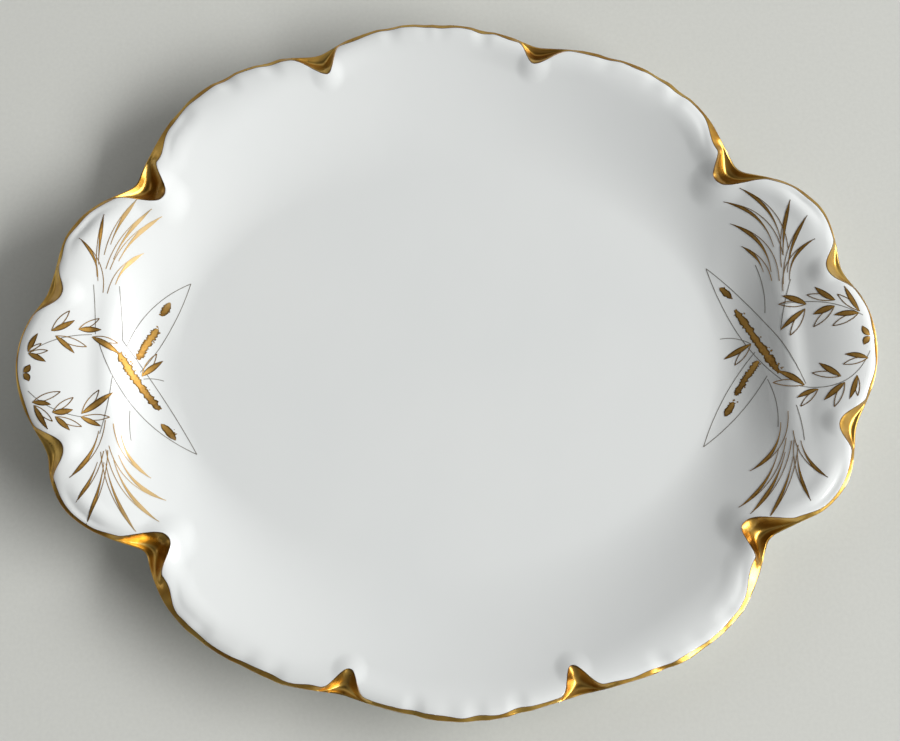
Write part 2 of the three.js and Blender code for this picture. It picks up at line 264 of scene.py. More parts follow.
def inner_z(s, radius):
    if radius <= s["floor"]:
        z = WELL_HEIGHT
    elif radius <= s["knee"]:
        z = wall_z(s, radius)
    elif radius <= s["brim"]:
        z = hermite(radius, s["knee"], s["knee_z"], s["knee_slope"], s["brim"], s["plain_z"], 0)
    else:
        z = s["plain_z"] - CREST_FALL * ((radius - s["brim"]) / CREST_INSET) ** 2
    pressed = radius - s["hand"] * min(1, max(0, (radius - HAND_FROM) / HAND_OVER))
    x, y = pressed * math.cos(s["turn"]), pressed * math.sin(s["turn"])
    z += sum(swell * bump(math.hypot(x - tx, y - ty) / half) for tx, ty, swell, half in TIPS)
    z += BAND_RISE * bump((x - BAND_AT) / BAND_HALF_WIDTH) * bump(y / BAND_HALF_LENGTH)
    z -= DIP_DEPTH * bump((x - DIP_AT) / DIP_HALF_WIDTH) * bump(y / DIP_HALF_LENGTH)
    gap = s["ridge"] - radius
    roll = ROLL_RISE * bump((gap - ROLL_AT) / ROLL_HALF_WIDTH)
    roll -= GROOVE_DEPTH * bump((gap - GROOVE_AT) / GROOVE_HALF_WIDTH)
    return z + s["groove"] * roll


def upper_z(s, radius):
    if radius <= s["ridge"]:
        z = inner_z(s, radius)
    else:
        t = (radius - s["ridge"]) / (s["edge"] - s["ridge"])
        z = mix(s["ridge_z"], s["edge_z"], t) - s["hollow"] * trough(t ** HOLLOW_LEAN)
    return z - CRIMP_DOWN * s["crimp"] * bump((s["edge"] - radius) / CRIMP_FADE)


def top(x, y):
    return upper_z(section(math.degrees(math.atan2(y, x))), math.hypot(x, y))


length, width = [2 * edge_radius(angle, OUTER_EVENING) for angle in (0, 90)]
print("even length", round(length, 1), "even width", round(width, 1), "height of the rim", CREST_HEIGHT)

# %% [markdown]
# ## Columns and rings
#
# The body is one sheet of clay laid round the mould: columns go round the platter, close together
# where the rim is dented, and rings go over the top from the middle of the floor, round the lip and
# back below to the foot ring that the platter stands on. A subdivided shell would round off the dents,
# so columns and rings are set where the form turns.

# %% Columns round the platter and rings over its section
# each stretch of the edge: the gold on it, the angle where it ends and its columns
STRETCHES = [
    ("edge_handle", 8.2, 16), ("scoop_handle", 12.2, 14), ("scoop_handle", 16.2, 14),
    ("edge_shoulder", 27.0, 22), ("scoop_corner", 32.0, 24), ("scoop_corner", 37.0, 24),
    ("edge_body", 65.9, 58), ("scoop_side", 70.7, 18), ("scoop_side", 75.1, 18), ("edge_side", 90.0, 32),
]
# rings on the floor, by their share of its radius, and counts of rings from there to below the lip
FLOOR_SHARES = (0, 0.45, 0.8, 0.93, 1)
WALL_RINGS, RIM_RINGS, CREST_RINGS, GILT_RINGS, LIP_RINGS = 16, 12, 6, 11, 4
LIP_CURL, LIP_BELLY = 0.12, 1.2
# the foot ring's inner corners, its rounded sides and the flat that it stands on
FOOT_FILLET, FOOT_ROUND_IN, FOOT_ROUND_UP, FOOT_FLAT_INSET = 0.4, 0.5, 0.35, 0.95


def quarter_angles():
    angles, start = [0.0], 0.0
    for _, end, count in STRETCHES:
        angles += [start + (end - start) * (k + 1) / count for k in range(count)]
        start = end
    return angles


def profile(s):
    def upper(r):
        return (r, upper_z(s, r))

    def lower(r):
        return (r, upper_z(s, r) - WALL_THICKNESS)

    def climb(start, end, count):
        return [upper(mix(start, end, (k + 1) / count)) for k in range(count)]

    rows = [upper(s["floor"] * t) for t in FLOOR_SHARES]
    rows += climb(s["floor"], s["bend"], WALL_RINGS)
    rows += climb(s["bend"], s["crest"], RIM_RINGS)
    rows += climb(s["crest"], s["ridge"], CREST_RINGS)
    rows += climb(s["ridge"], s["edge"] - LIP_ROUND, GILT_RINGS)
    edge, z = s["edge"], s["edge_z"]
    rows += [(edge - LIP_CURL, rows[-1][1] - LIP_CURL), (edge, z - LIP_ROUND)]
    rows += [(edge - LIP_CURL, z - LIP_BELLY), (edge - LIP_UNDERCUT, z - LIP_THICKNESS)]
    rows += [lower(mix(edge, s["crest"], t)) for t in (0.5, 1)]
    rows += [lower(mix(s["crest"], s["bend"], t)) for t in (0.33, 0.66, 1)]
    rows += [lower(mix(s["bend"], s["floor"], t)) for t in (0.2, 0.45, 0.7)]
    outer = s["floor"] - FOOT_INSET
    inner = outer - FOOT_WIDTH
    rows += [(s["floor"], FOOT_HEIGHT), (outer + FOOT_FILLET, FOOT_HEIGHT)]
    rows += [(outer, FOOT_HEIGHT - FOOT_FILLET)]
    rows += [(outer - FOOT_ROUND_IN, FOOT_ROUND_UP), (outer - FOOT_FLAT_INSET, 0)]
    rows += [(inner + FOOT_FLAT_INSET, 0), (inner + FOOT_ROUND_IN, FOOT_ROUND_UP)]
    rows += [(inner, FOOT_HEIGHT - FOOT_FILLET), (inner - FOOT_FILLET, FOOT_HEIGHT)]
    return rows + [(outer * 0.5, FOOT_HEIGHT), (0, FOOT_HEIGHT)]


QUARTER = quarter_angles()
ANGLES = QUARTER + [180 - a for a in QUARTER[-2::-1]]
ANGLES += [180 + a for a in QUARTER[1:]] + [360 - a for a in QUARTER[-2::-1]]
PROFILES = [profile(section(a)) for a in ANGLES]
COLUMNS, RINGS = len(ANGLES) - 1, len(PROFILES[0]) - 1
GILT_FIRST = len(FLOOR_SHARES) - 1 + WALL_RINGS + RIM_RINGS + CREST_RINGS
GILT_LAST = GILT_FIRST + GILT_RINGS + LIP_RINGS
print("columns", COLUMNS, "rings", RINGS)

# %% [markdown]
# ## The porcelain body
#
# The real body is pressed from a slab of clay. It could be spun from one profile if it were round, but
# no two of its sections are alike, so a flat grid is the slab here: each of its points is set on the
# mould's form, and then the seam and the two middles are merged, so that it is closed. The slab is
# marked where gold will lie, by the strips' names.


# %% Lay the slab on the mould
# points closer together than this many millimetres become one
MERGE = 0.002


def slab(across, along):
    bpy.ops.object.select_all(action="DESELECT")
    bpy.ops.mesh.primitive_grid_add(x_subdivisions=across, y_subdivisions=along, size=2)
    return bpy.context.object


def cell(p, across, along):
    return int((p.x + 1) / 2 * across + 0.001), int((p.y + 1) / 2 * along + 0.001)


def giltname(angle):
    stretch = next(name for name, end, _ in STRETCHES if fold(angle) < end)
    side = "right" if math.cos(math.radians(angle)) > 0 else "left"
    back = "back" if math.sin(math.radians(angle)) > 0 else "front"
    if stretch == "edge_handle":
        return f"gilt_{stretch}_{side}"
    if stretch == "edge_side":
        return f"gilt_{stretch}_{back}"
    return f"gilt_{stretch}_{side}_{back}"


GILT_NAMES = sorted({giltname((a + b) / 2) for a, b in zip(ANGLES, ANGLES[1:])})
body = slab(COLUMNS, RINGS)
body.name = "glazed_body"
for name in ["plain"] + GILT_NAMES:
    body.data.materials.append(bpy.data.materials.new(name))
for face in body.data.polygons:
    i, j = cell(face.center, COLUMNS, RINGS)
    if GILT_FIRST <= j < GILT_LAST:
        face.material_index = 1 + GILT_NAMES.index(giltname((ANGLES[i] + ANGLES[i + 1]) / 2))
for v in body.data.vertices:
    i, j = cell(v.co, COLUMNS, RINGS)
    radius, z = PROFILES[i][j]
    turn = math.radians(ANGLES[i])
    v.co = Vector((radius * math.cos(turn), radius * math.sin(turn), z)) * MM
bpy.ops.object.mode_set(mode="EDIT")
bpy.ops.mesh.select_all(action="SELECT")
bpy.ops.mesh.remove_doubles(threshold=MERGE * MM)
bpy.ops.mesh.normals_make_consistent(inside=False)
bpy.ops.object.mode_set(mode="OBJECT")
print("body faces", len(body.data.polygons))

# %% [markdown]
# ## The gilding of the edge
#
# The gilder lays the gold on with a brush, a lobe or a dent at a time. It could be a second colour on
# the body, but gold is a layer of its own, so the marked strips of the body are copied off, one piece
# for each stroke, and thickened a little outwards. Real gold is far thinner than this.

# %% Copy the strips and give them a thickness
GOLD_THICKNESS = 0.12
bpy.ops.object.select_all(action="DESELECT")
body.select_set(True)
bpy.context.view_layer.objects.active = body
bpy.ops.object.duplicate()
bpy.ops.object.mode_set(mode="EDIT")
bpy.ops.mesh.separate(type="MATERIAL")
bpy.ops.object.mode_set(mode="OBJECT")
gilt = []
for piece in list(bpy.context.selected_objects):
    name = piece.data.materials[piece.data.polygons[0].material_index].name
    if name == "plain":
        bpy.data.objects.remove(piece)
        continue
    piece.name = name.replace("gilt", "gold")
    piece["node"] = name
    gilt.append(piece)
for piece in gilt:
    bpy.context.view_layer.objects.active = piece
    thick = piece.modifiers.new("gold", "SOLIDIFY")
    thick.thickness = GOLD_THICKNESS * MM
    thick.offset = 1
    bpy.ops.object.modifier_apply(modifier=thick.name)
print("gold strips", len(gilt))

# %% [markdown]
# ## The painted handles
#
# A painter draws each handle with a fine brush and a pen: two fans of grass blades, a wreath of two
# leafy stems that meets at the end of the handle, and two crossed pods, one over the other, each with
# a stippled rib. An image could show them too, but strokes stay sharp at any size: each is a narrow
# grid that follows a curve on the glaze, as wide as the brush was pressed. Each handle is drawn stroke
# by stroke, from a list of its own: the left one has the right one's motifs, turned half round.


# %% A brush stroke on the glaze
def curve(start, end, bend):
    a, b = Vector(start), Vector(end)
    side = Vector((a.y - b.y, b.x - a.x)).normalized()
    middle = (a + b) / 2 + side * bend

    def at(t):
        return a * (1 - t) ** 2 + middle * 2 * t * (1 - t) + b * t * t

    return at


def stroke(path, width, steps, lift):
    piece = slab(steps, 2)
    for v in piece.data.vertices:
        i, j = cell(v.co, steps, 2)
        t = i / steps
        along = path(min(1, t + 0.01)) - path(max(0, t - 0.01))
        side = Vector((-along.y, along.x)).normalized()
        p = path(t) + side * width(t, j - 1)
        v.co = Vector((p.x, p.y, top(p.x, p.y) + lift)) * MM
    return piece


# each width is asked at a share of the way and for a side, -1, 0 or 1, and gives the way off the curve;
# a blade is fullest two thirds of the way and ends in a point, and a leaf is fullest in its middle
def blade_width(widest):
    return lambda t, side: side * widest / 2 * (0.14 + 0.86 * math.sin(math.pi * t ** 2)) * (1 - t ** 9)


def leaf_width(widest):
    return lambda t, side: side * widest / 2 * (0.05 + 0.95 * math.sin(math.pi * t ** 0.9) ** 0.9)


def even(widest):
    return lambda t, side: side * widest / 2


def ragged(widest, steps, least, most, rounding):
    rough = [random.uniform(least, most) for _ in range(2 * steps + 2)]

    def off(t, side):
        k = int(t * steps + 0.5) + (steps if side > 0 else 0)
        return side * widest / 2 * rounding(t) * rough[k]

    return off


def rib_width(widest, steps):
    return ragged(widest, steps, 0.6, 1.2, lambda t: min(1, 0.15 + 2.4 * math.sin(math.pi * t)) ** 0.5)


def daub_width(widest, steps):
    return ragged(widest, steps, 0.8, 1.1, lambda t: math.sin(math.pi * t) ** 0.6)


def joined(name, strokes, thickness):
    bpy.ops.object.select_all(action="DESELECT")
    for piece in strokes:
        piece.select_set(True)
    bpy.context.view_layer.objects.active = strokes[0]
    bpy.ops.object.join()
    piece = bpy.context.object
    piece.name = name
    thick = piece.modifiers.new("paint", "SOLIDIFY")
    thick.thickness = thickness * MM
    thick.offset = 1
    bpy.ops.object.modifier_apply(modifier=thick.name)
    return piece


# %% Where the strokes lie on the right handle, in millimetres
RIGHT = {}
# root, tip and bend
RIGHT["blades"] = [
    ((121, 39.5), (108, 60), -6), ((118.5, 37), (102.2, 55.8), -7.5), ((117, 28), (104.2, 47.7), -7),
    ((114.5, 28.5), (107.7, 39), -2.7), ((121.5, 33.5), (125.5, 54), 1.5), ((122.5, 27), (131, 47.5), 3),
    ((123, 24), (133, 38.5), 5.5), ((116, -27.5), (104.2, -44), 6), ((114.5, -37), (99, -57.2), 5),
    ((116.5, -38.5), (102.5, -60), 3.7), ((119, -40.5), (108.2, -62.5), 2.5),
    ((120.5, -39), (123.5, -56.8), -2.2), ((122, -35), (130, -49), -3.5),
]
# base, tip of the filled leaf, tip of the outlined leaf beside it
RIGHT["leaves"] = [
    ((146, 10.3), (141.5, 20), (138.8, 17)), ((145.6, 9.6), (137, 9.5), (136.2, 5.6)),
    ((137.8, 15), (131.3, 20.5), (128.5, 18)), ((137.4, 12.8), (130, 10.6), (129.8, 6)),
    ((128, 14.7), (120, 18.5), (118.6, 15.6)), ((127.5, 13), (118.4, 6), (121.6, 3.6)),
    ((147.4, -7), (139.4, -5.2), (138.6, -8.8)), ((143, -13.2), (139.6, -21.6), (142.6, -20.6)),
    ((137.5, -13), (130.5, -7.4), (128, -10.8)), ((138.5, -15.4), (131, -21.2), (134.2, -24)),
    ((129.4, -16.9), (122, -19.4), (123, -22.6)), ((125, -14.9), (116.4, -8.5), (114.8, -12.4)),
]
RIGHT["pod leaf"] = [((108.8, 3.2), (99, -1.6), (102.8, -4))]
RIGHT["end leaves"] = [((148.8, 1.3), (146.5, 4.8), 0.7), ((148.8, 0.7), (146.4, -2.2), -0.7)]
# start, end and bend of the pen lines: stems, pods, and the borders of the band between the fans
RIGHT["lines"] = [
    ((147, 8.8), (119.5, 15.5), -5), ((148.4, -4.4), (124, -15.3), 11), ((108.8, 3.2), (98.2, 6), -2.4),
    ((95, 32.5), (125.5, -14.5), 7.2), ((95, 32.5), (117.5, -12), -5.3),
    ((89.3, -33.6), (110, 0), 3.8), ((89.3, -33.6), (113.2, -9.5), -3.5),
    ((112, 31.5), (114.1, 13.5), 2), ((123.4, 24.4), (118.6, 6.5), -0.8),
    ((113.2, -10.8), (115, -29), 2.2), ((121.6, -22), (123.2, -35), 0.8),
]
# start, end, bend and width
RIGHT["ribs"] = [((104.3, 16.4), (117, -9.4), 0.8, 2.7), ((110.8, -3.5), (102, -15.3), -0.5, 2.6)]
RIGHT["daubs"] = [((99.3, 25), (103.3, 20.6), 0.3, 2.5), ((101.3, -17.6), (97.6, -22.8), 0.3, 2.8)]
print("strokes on the right handle", sum(len(marks) for marks in RIGHT.values()))

# %% The left handle: the same motifs turned half round, listed again stroke by stroke
LEFT = {}
LEFT["blades"] = [
    ((-123.6, 31.4), (-130, 47), -4), ((-123.3, 37.4), (-121.2, 56), 0.8),
    ((-119.1, 45), (-109.6, 61.8), 2), ((-118.2, 39.6), (-104.6, 58.7), 3),
    ((-116.4, 39.2), (-101.1, 56.3), 3.5), ((-117.6, 30.5), (-107.8, 42.8), 3),
    ((-123.6, -23), (-133.4, -39.8), 3.5),
    ((-124, -34.2), (-131.4, -48.4), 1.5), ((-121.8, -34.2), (-128.1, -55.8), 1.8),
    ((-121.2, -34.7), (-111.1, -58.9), -3), ((-118.6, -33.3), (-103.4, -55), -5),
    ((-117, -31.4), (-101.1, -47.1), -5.5), ((-116.2, -24), (-106.2, -39.1), -4),
]
LEFT["leaves"] = [
    ((-138.5, 14.6), (-130.7, 18.8), (-132.4, 22.1)), ((-129.4, 15.6), (-121.7, 15.8), (-122.4, 19.9)),
    ((-125, 13.1), (-115.6, 7.5), (-116.3, 11.4)), ((-137.2, 12.8), (-130.9, 6.9), (-126.8, 9.5)),
    ((-146.6, 7.2), (-143.2, 13.7), (-142, 10)), ((-146.4, 6.5), (-140.5, 3.5), (-139.8, 7.5)),
    ((-145, -11.1), (-138.7, -11.9), (-135.6, -7.2)), ((-144.5, -12.1), (-139.8, -20.7), (-138.2, -17.9)),
    ((-138.2, -14.7), (-131.4, -13.5), (-131.3, -9.1)), ((-137.3, -16.3), (-132.4, -21), (-128.5, -19.5)),
    ((-128.5, -14.8), (-118, -6.8), (-122.6, -6.1)), ((-128.7, -16.1), (-122, -19.1), (-119.1, -15.8)),
]
LEFT["pod leaf"] = [((-109.2, -1.6), (-101.9, 4.4), (-104.1, 6.9))]
LEFT["end leaves"] = [((-149, -2.4), (-146.7, 0.3), -0.7), ((-149, -3), (-147, -5.7), 0.7)]
LEFT["lines"] = [
    ((-146.8, 4.8), (-125.8, 11.8), 3), ((-147.3, -9.2), (-128.8, -18.2), -4),
    ((-108.7, -2.6), (-101.7, -3), 1),
    ((-123.7, 10), (-90.5, -30), -12), ((-115.5, 10.5), (-90.5, -30), 2),
    ((-91.6, 32.8), (-114.2, 8.6), -7), ((-91.6, 32.8), (-109.8, -0.2), 3.4),
    ((-125.1, 30), (-124.6, 12), 0.3), ((-116.3, 30), (-115.5, 10.5), 0.4),
    ((-118.9, -2.6), (-123.3, -24), 1), ((-113.3, -14.7), (-112.9, -25.8), -0.6),
]
LEFT["ribs"] = [((-116.8, 5.8), (-103.3, -13.7), -1.2, 3.1), ((-103.7, 16), (-110.7, 4.4), -0.3, 2.9)]
LEFT["daubs"] = [((-99, 25.8), (-102.4, 20.7), 0.3, 2.9), ((-102.9, -18.8), (-97.7, -24.9), 0.3, 2.8)]
print("strokes on the left handle", sum(len(marks) for marks in LEFT.values()))


# %% Strokes of the brush, the stippling brush and the pen
BLADE_WIDTHS, BLADE_LINE, BLADE_STEPS = (1.15, 1.6), 0.24, 16
# a blade's second line starts further back and bows out more
LINE_BACK, LINE_BOW, LINE_BOW_MORE = 4.5, 1.2, 1.4
LEAF_WIDTHS, LEAF_LINE, LEAF_STEPS, LEAF_SWAY, LEAF_BOW = (1.8, 2.4), 0.3, 10, 0.8, 0.22
END_LEAF_WIDTH, END_LEAF_STEPS = 2.4, 8
RIB_STEPS, RIB_GRAINS, RIB_SCATTER = 44, 34, 0.6
DAUB_STEPS, DAUB_GRAINS, DAUB_SCATTER = 18, 9, 0.55
GRAIN_WIDTHS, GRAIN_LENGTH, GRAIN_BEND, GRAIN_STEPS = (0.4, 0.8), 0.7, 0.1, 4
PEN_WIDTH, PEN_STEPS = 0.27, 26


def brush_marks(handle, wreath_at):
    marks = []
    for root, tip, bend in handle["blades"]:
        back = Vector(root) + (Vector(root) - Vector(tip)).normalized() * LINE_BACK
        bow = bend * LINE_BOW + math.copysign(LINE_BOW_MORE, bend)
        marks.append((curve(root, tip, bend), blade_width(random.uniform(*BLADE_WIDTHS)), BLADE_STEPS))
        marks.append((curve(back, tip, bow), even(BLADE_LINE), BLADE_STEPS))
    wreath = [[Vector(spot) + Vector(wreath_at) for spot in leaf] for leaf in handle["leaves"]]
    for base, tip, beside in wreath + handle["pod leaf"]:
        bow = LEAF_BOW * (Vector(beside) - Vector(base)).length
        filled = curve(base, tip, random.uniform(-LEAF_SWAY, LEAF_SWAY))
        marks.append((filled, leaf_width(random.uniform(*LEAF_WIDTHS)), LEAF_STEPS))
        marks += [(curve(base, beside, b), even(LEAF_LINE), LEAF_STEPS) for b in (-bow, bow)]
    for start, end, bend in handle["end leaves"]:
        marks.append((curve(start, end, bend), leaf_width(END_LEAF_WIDTH), END_LEAF_STEPS))
    return marks


def grains(path, reach, count):
    marks = []
    for _ in range(count):
        at = path(random.random()) + Vector((random.uniform(-0.5, 1), random.uniform(-0.5, 1))) * reach
        far = [random.uniform(-GRAIN_LENGTH, GRAIN_LENGTH) for _ in range(2)]
        grain = curve(at, at + Vector(far), GRAIN_BEND)
        marks.append((grain, leaf_width(random.uniform(*GRAIN_WIDTHS)), GRAIN_STEPS))
    return marks


def stippled_marks(handle):
    marks = []
    for start, end, bend, widest in handle["ribs"]:
        rib = curve(start, end, bend)
        marks.append((rib, rib_width(widest, RIB_STEPS), RIB_STEPS))
        marks += grains(rib, widest * RIB_SCATTER, RIB_GRAINS)
    for start, end, bend, widest in handle["daubs"]:
        daub = curve(start, end, bend)
        marks.append((daub, daub_width(widest, DAUB_STEPS), DAUB_STEPS))
        marks += grains(daub, widest * DAUB_SCATTER, DAUB_GRAINS)
    return marks


def pen_marks(handle):
    return [(curve(*spots), even(PEN_WIDTH), PEN_STEPS) for spots in handle["lines"]]


# %% Paint both handles
# paint lies on paint, so the brush strokes are lifted most and the pen lines least
SPRIG_LIFT, SPRIG_THICKNESS = 0.07, 0.04
RIB_LIFT, RIB_THICKNESS = 0.05, 0.03
LINE_LIFT, LINE_THICKNESS = 0.03, 0.03
LEFT_WREATH_AT = (-0.8, -2.2)
random.seed(7)
paint, lines = [], []
for side, handle, wreath_at in (("right", RIGHT, (0, 0)), ("left", LEFT, LEFT_WREATH_AT)):
    brushed = [stroke(*mark, SPRIG_LIFT) for mark in brush_marks(handle, wreath_at)]
    paint.append(joined(f"painted_sprigs_{side}", brushed, SPRIG_THICKNESS))
    dabbed = [stroke(*mark, RIB_LIFT) for mark in stippled_marks(handle)]
    paint.append(joined(f"stippled_ribs_{side}", dabbed, RIB_THICKNESS))
    drawn = [stroke(*mark, LINE_LIFT) for mark in pen_marks(handle)]
    lines.append(joined(f"pen_lines_{side}", drawn, LINE_THICKNESS))
    print(side, "strokes", len(brushed), "dabs", len(dabbed), "pen lines", len(drawn))
print("painted pieces", len(paint) + len(lines))

# %% [markdown]
# ## Materials
#
# Porcelain is white clay under a clear glossy glaze that settles in faint waves, with a few specks.
# The edge is burnished gold: smooth and mirror-like, a little streaky from the brush and thinner at
# its borders. The painted gold is matt and brown, darker where the paint gathers at a stroke's sides,
# and a painted highlight turns the left fans pale where they slope to the dish and face the window.
# The pen lines are thin grey-brown enamel, and the table is a matt painted board. Every pattern is
# made from noise at a size in millimetres, on the piece's own coordinates, so no image is needed and
# the pattern stays in its place when the platter is turned.


# %% Functions for colours, materials, nodes and the size of a pattern
def colour(text):
    parts = [int(text[k:k + 2], 16) / 255 for k in (1, 3, 5)]
    return [p / 12.92 if p <= 0.04045 else ((p + 0.055) / 1.055) ** 2.4 for p in parts] + [1]


def material(name):
    m = bpy.data.materials.new(name)
    m.use_nodes = True
    return m, m.node_tree, m.node_tree.nodes["Principled BSDF"]


def node(tree, kind, inputs=None, **settings):
    n = tree.nodes.new(kind)
    for key, value in settings.items():
        setattr(n, key, value)
    for key, value in (inputs or {}).items():
        if isinstance(value, bpy.types.NodeSocket):
            tree.links.new(value, n.inputs[key])
        else:
            n.inputs[key].default_value = value
    return n


def scale(size):
    return 1 / (size * MM)


# a Mix node's sockets for colours: the share of the second colour, both colours and the result
SHARE, FIRST, SECOND, RESULT = 0, 6, 7, 2

# %% Glazed porcelain: dipped in clear glaze and fired, so it is smooth with long shallow waves
# clouds in the white about 70 mm wide, specks in cells of 26 mm, waves in the glaze about 17 mm long
CLOUD, SPECK_CELL, GLAZE_WAVE, GLAZE_WAVE_HEIGHT = 70, 26, 17, 0.3
SPECK_RADIUS, SPECK_RARE = 0.011, 0.86
porcelain, tree, shader = material("glazed_porcelain")
where = node(tree, "ShaderNodeTexCoord").outputs["Object"]
cloudy = {"Vector": where, "Scale": scale(CLOUD), "Detail": 2.0}
cloud = node(tree, "ShaderNodeTexNoise", cloudy).outputs[0]
whites = {SHARE: cloud, FIRST: colour("#E3E6E5"), SECOND: colour("#EAECEA")}
white = node(tree, "ShaderNodeMix", whites, data_type="RGBA").outputs[RESULT]
cells = node(tree, "ShaderNodeTexVoronoi", {"Vector": where, "Scale": scale(SPECK_CELL)})
middle = {0: cells.outputs["Distance"], 1: SPECK_RADIUS}
near = node(tree, "ShaderNodeMath", middle, operation="LESS_THAN").outputs[0]
pick = node(tree, "ShaderNodeSeparateColor", {0: cells.outputs["Color"]}).outputs[0]
rare = node(tree, "ShaderNodeMath", {0: pick, 1: SPECK_RARE}, operation="GREATER_THAN").outputs[0]
speck = node(tree, "ShaderNodeMath", {0: near, 1: rare}, operation="MULTIPLY").outputs[0]
specked = {SHARE: speck, FIRST: white, SECOND: colour("#8C8A84")}
clay = node(tree, "ShaderNodeMix", specked, data_type="RGBA").outputs[RESULT]
tree.links.new(clay, shader.inputs["Base Color"])
wavy = {"Vector": where, "Scale": scale(GLAZE_WAVE), "Detail": 2.0}
wave = node(tree, "ShaderNodeTexNoise", wavy).outputs[0]
rippled = {"Height": wave, "Strength": 0.25, "Distance": GLAZE_WAVE_HEIGHT * MM}
ripple = node(tree, "ShaderNodeBump", rippled).outputs[0]
tree.links.new(ripple, shader.inputs["Normal"])
shader.inputs["Roughness"].default_value = 0.12
shader.inputs["IOR"].default_value = 1.5

# %% Burnished gold: brushed on, fired and rubbed bright, with faint streaks and thinner spots
# thin spots of 11 mm and brush waves of 3.8 mm; streaks of 2.4 mm, coarser than a brush's, to show
THIN_SPOT, BRUSH_WAVE, BRUSH_WAVE_HEIGHT, STREAK, BORDER_RINGS = 11, 3.8, 0.4, 2.4, 1.2
gold, tree, shader = material("burnished_gold")
where = node(tree, "ShaderNodeTexCoord").outputs["Object"]
spotted = {"Vector": where, "Scale": scale(THIN_SPOT), "Detail": 3.0}
thin = node(tree, "ShaderNodeTexNoise", spotted).outputs[0]
spots = node(tree, "ShaderNodeMapRange", {"Value": thin, "From Min": 0.35, "From Max": 0.68}).outputs[0]
golds = {SHARE: spots, FIRST: colour("#AE7F2E"), SECOND: colour("#DDB65C")}
fresh = node(tree, "ShaderNodeMix", golds, data_type="RGBA").outputs[RESULT]
across = node(tree, "ShaderNodeSeparateXYZ", {0: node(tree, "ShaderNodeUVMap").outputs[0]}).outputs[1]
border = {"Value": across, "From Min": GILT_FIRST / RINGS, "From Max": (GILT_FIRST + BORDER_RINGS) / RINGS}
inside = node(tree, "ShaderNodeMapRange", border).outputs[0]
bordered = {SHARE: inside, FIRST: colour("#5A3A12"), SECOND: fresh}
leafing = node(tree, "ShaderNodeMix", bordered, data_type="RGBA").outputs[RESULT]
tree.links.new(leafing, shader.inputs["Base Color"])
streaky = {"Vector": where, "Scale": scale(STREAK), "Detail": 3.0}
streak = node(tree, "ShaderNodeTexNoise", streaky).outputs[0]
rough = node(tree, "ShaderNodeMapRange", {"Value": streak, "To Min": 0.22, "To Max": 0.38}).outputs[0]
tree.links.new(rough, shader.inputs["Roughness"])
waved = {"Vector": where, "Scale": scale(BRUSH_WAVE), "Detail": 1.0}
brushed = node(tree, "ShaderNodeTexNoise", waved).outputs[0]
ridged = {"Height": brushed, "Strength": 0.3, "Distance": BRUSH_WAVE_HEIGHT * MM}
uneven = node(tree, "ShaderNodeBump", ridged).outputs[0]
tree.links.new(uneven, shader.inputs["Normal"])
shader.inputs["Metallic"].default_value = 1.0
shader.inputs["Coat Weight"].default_value = 0.4
shader.inputs["Coat Roughness"].default_value = 0.12

# %% Painted gold: matt brushed gold, darker along the sides of each stroke
# the marks of the brush's hairs are 1.1 mm long; a painted highlight turns the left fans pale on the
# slope to the dish, which faces the window
HAIR, HIGHLIGHT_FROM, HIGHLIGHT_TO, HIGHLIGHT_MOST = 1.1, -120, -109, 0.85
FAN_FROM, FAN_TO = 23, 29
painted, tree, shader = material("painted_gold")
places = node(tree, "ShaderNodeTexCoord")
drawn_along = node(tree, "ShaderNodeSeparateXYZ", {0: places.outputs["UV"]})
across = drawn_along.outputs[1]
half = node(tree, "ShaderNodeMath", {0: across, 1: 0.5}, operation="SUBTRACT").outputs[0]
off = node(tree, "ShaderNodeMath", {0: half}, operation="ABSOLUTE").outputs[0]
side = node(tree, "ShaderNodeMapRange", {"Value": off, "From Min": 0.22, "From Max": 0.48}).outputs[0]
hairy = {"Vector": places.outputs["Object"], "Scale": scale(HAIR)}
hair = node(tree, "ShaderNodeTexNoise", hairy).outputs[0]
worn = node(tree, "ShaderNodeMath", {0: drawn_along.outputs[0], 1: hair}, operation="MULTIPLY").outputs[0]
share = node(tree, "ShaderNodeMapRange", {"Value": worn, "From Min": 0.05, "From Max": 0.78}).outputs[0]
browns = {SHARE: share, FIRST: colour("#C4984E"), SECOND: colour("#6A471B")}
body_tone = node(tree, "ShaderNodeMix", browns, data_type="RGBA").outputs[RESULT]
sided = {SHARE: side, FIRST: body_tone, SECOND: colour("#45300F")}
fresh_paint = node(tree, "ShaderNodeMix", sided, data_type="RGBA").outputs[RESULT]
# painted highlight: on the left handle only, the fans turn pale where they slope to the dish towards the
# window
spot = node(tree, "ShaderNodeSeparateXYZ", {0: places.outputs["Object"]})
slope = {"Value": spot.outputs[0], "From Min": HIGHLIGHT_FROM * MM, "From Max": HIGHLIGHT_TO * MM}
slope["To Max"] = HIGHLIGHT_MOST
on_slope = node(tree, "ShaderNodeMapRange", slope).outputs[0]
out = node(tree, "ShaderNodeMath", {0: spot.outputs[1]}, operation="ABSOLUTE").outputs[0]
fan = {"Value": out, "From Min": FAN_FROM * MM, "From Max": FAN_TO * MM}
in_fan = node(tree, "ShaderNodeMapRange", fan).outputs[0]
left = node(tree, "ShaderNodeMath", {0: spot.outputs[0], 1: 0.0}, operation="LESS_THAN").outputs[0]
left_fan = node(tree, "ShaderNodeMath", {0: left, 1: in_fan}, operation="MULTIPLY").outputs[0]
painted_highlight = node(tree, "ShaderNodeMath", {0: left_fan, 1: on_slope}, operation="MULTIPLY").outputs[0]
highlighted = {SHARE: painted_highlight, FIRST: fresh_paint, SECOND: colour("#E4C690")}
highlighted_paint = node(tree, "ShaderNodeMix", highlighted, data_type="RGBA").outputs[RESULT]
tree.links.new(highlighted_paint, shader.inputs["Base Color"])
shader.inputs["Metallic"].default_value = 0.9
shader.inputs["Roughness"].default_value = 0.46

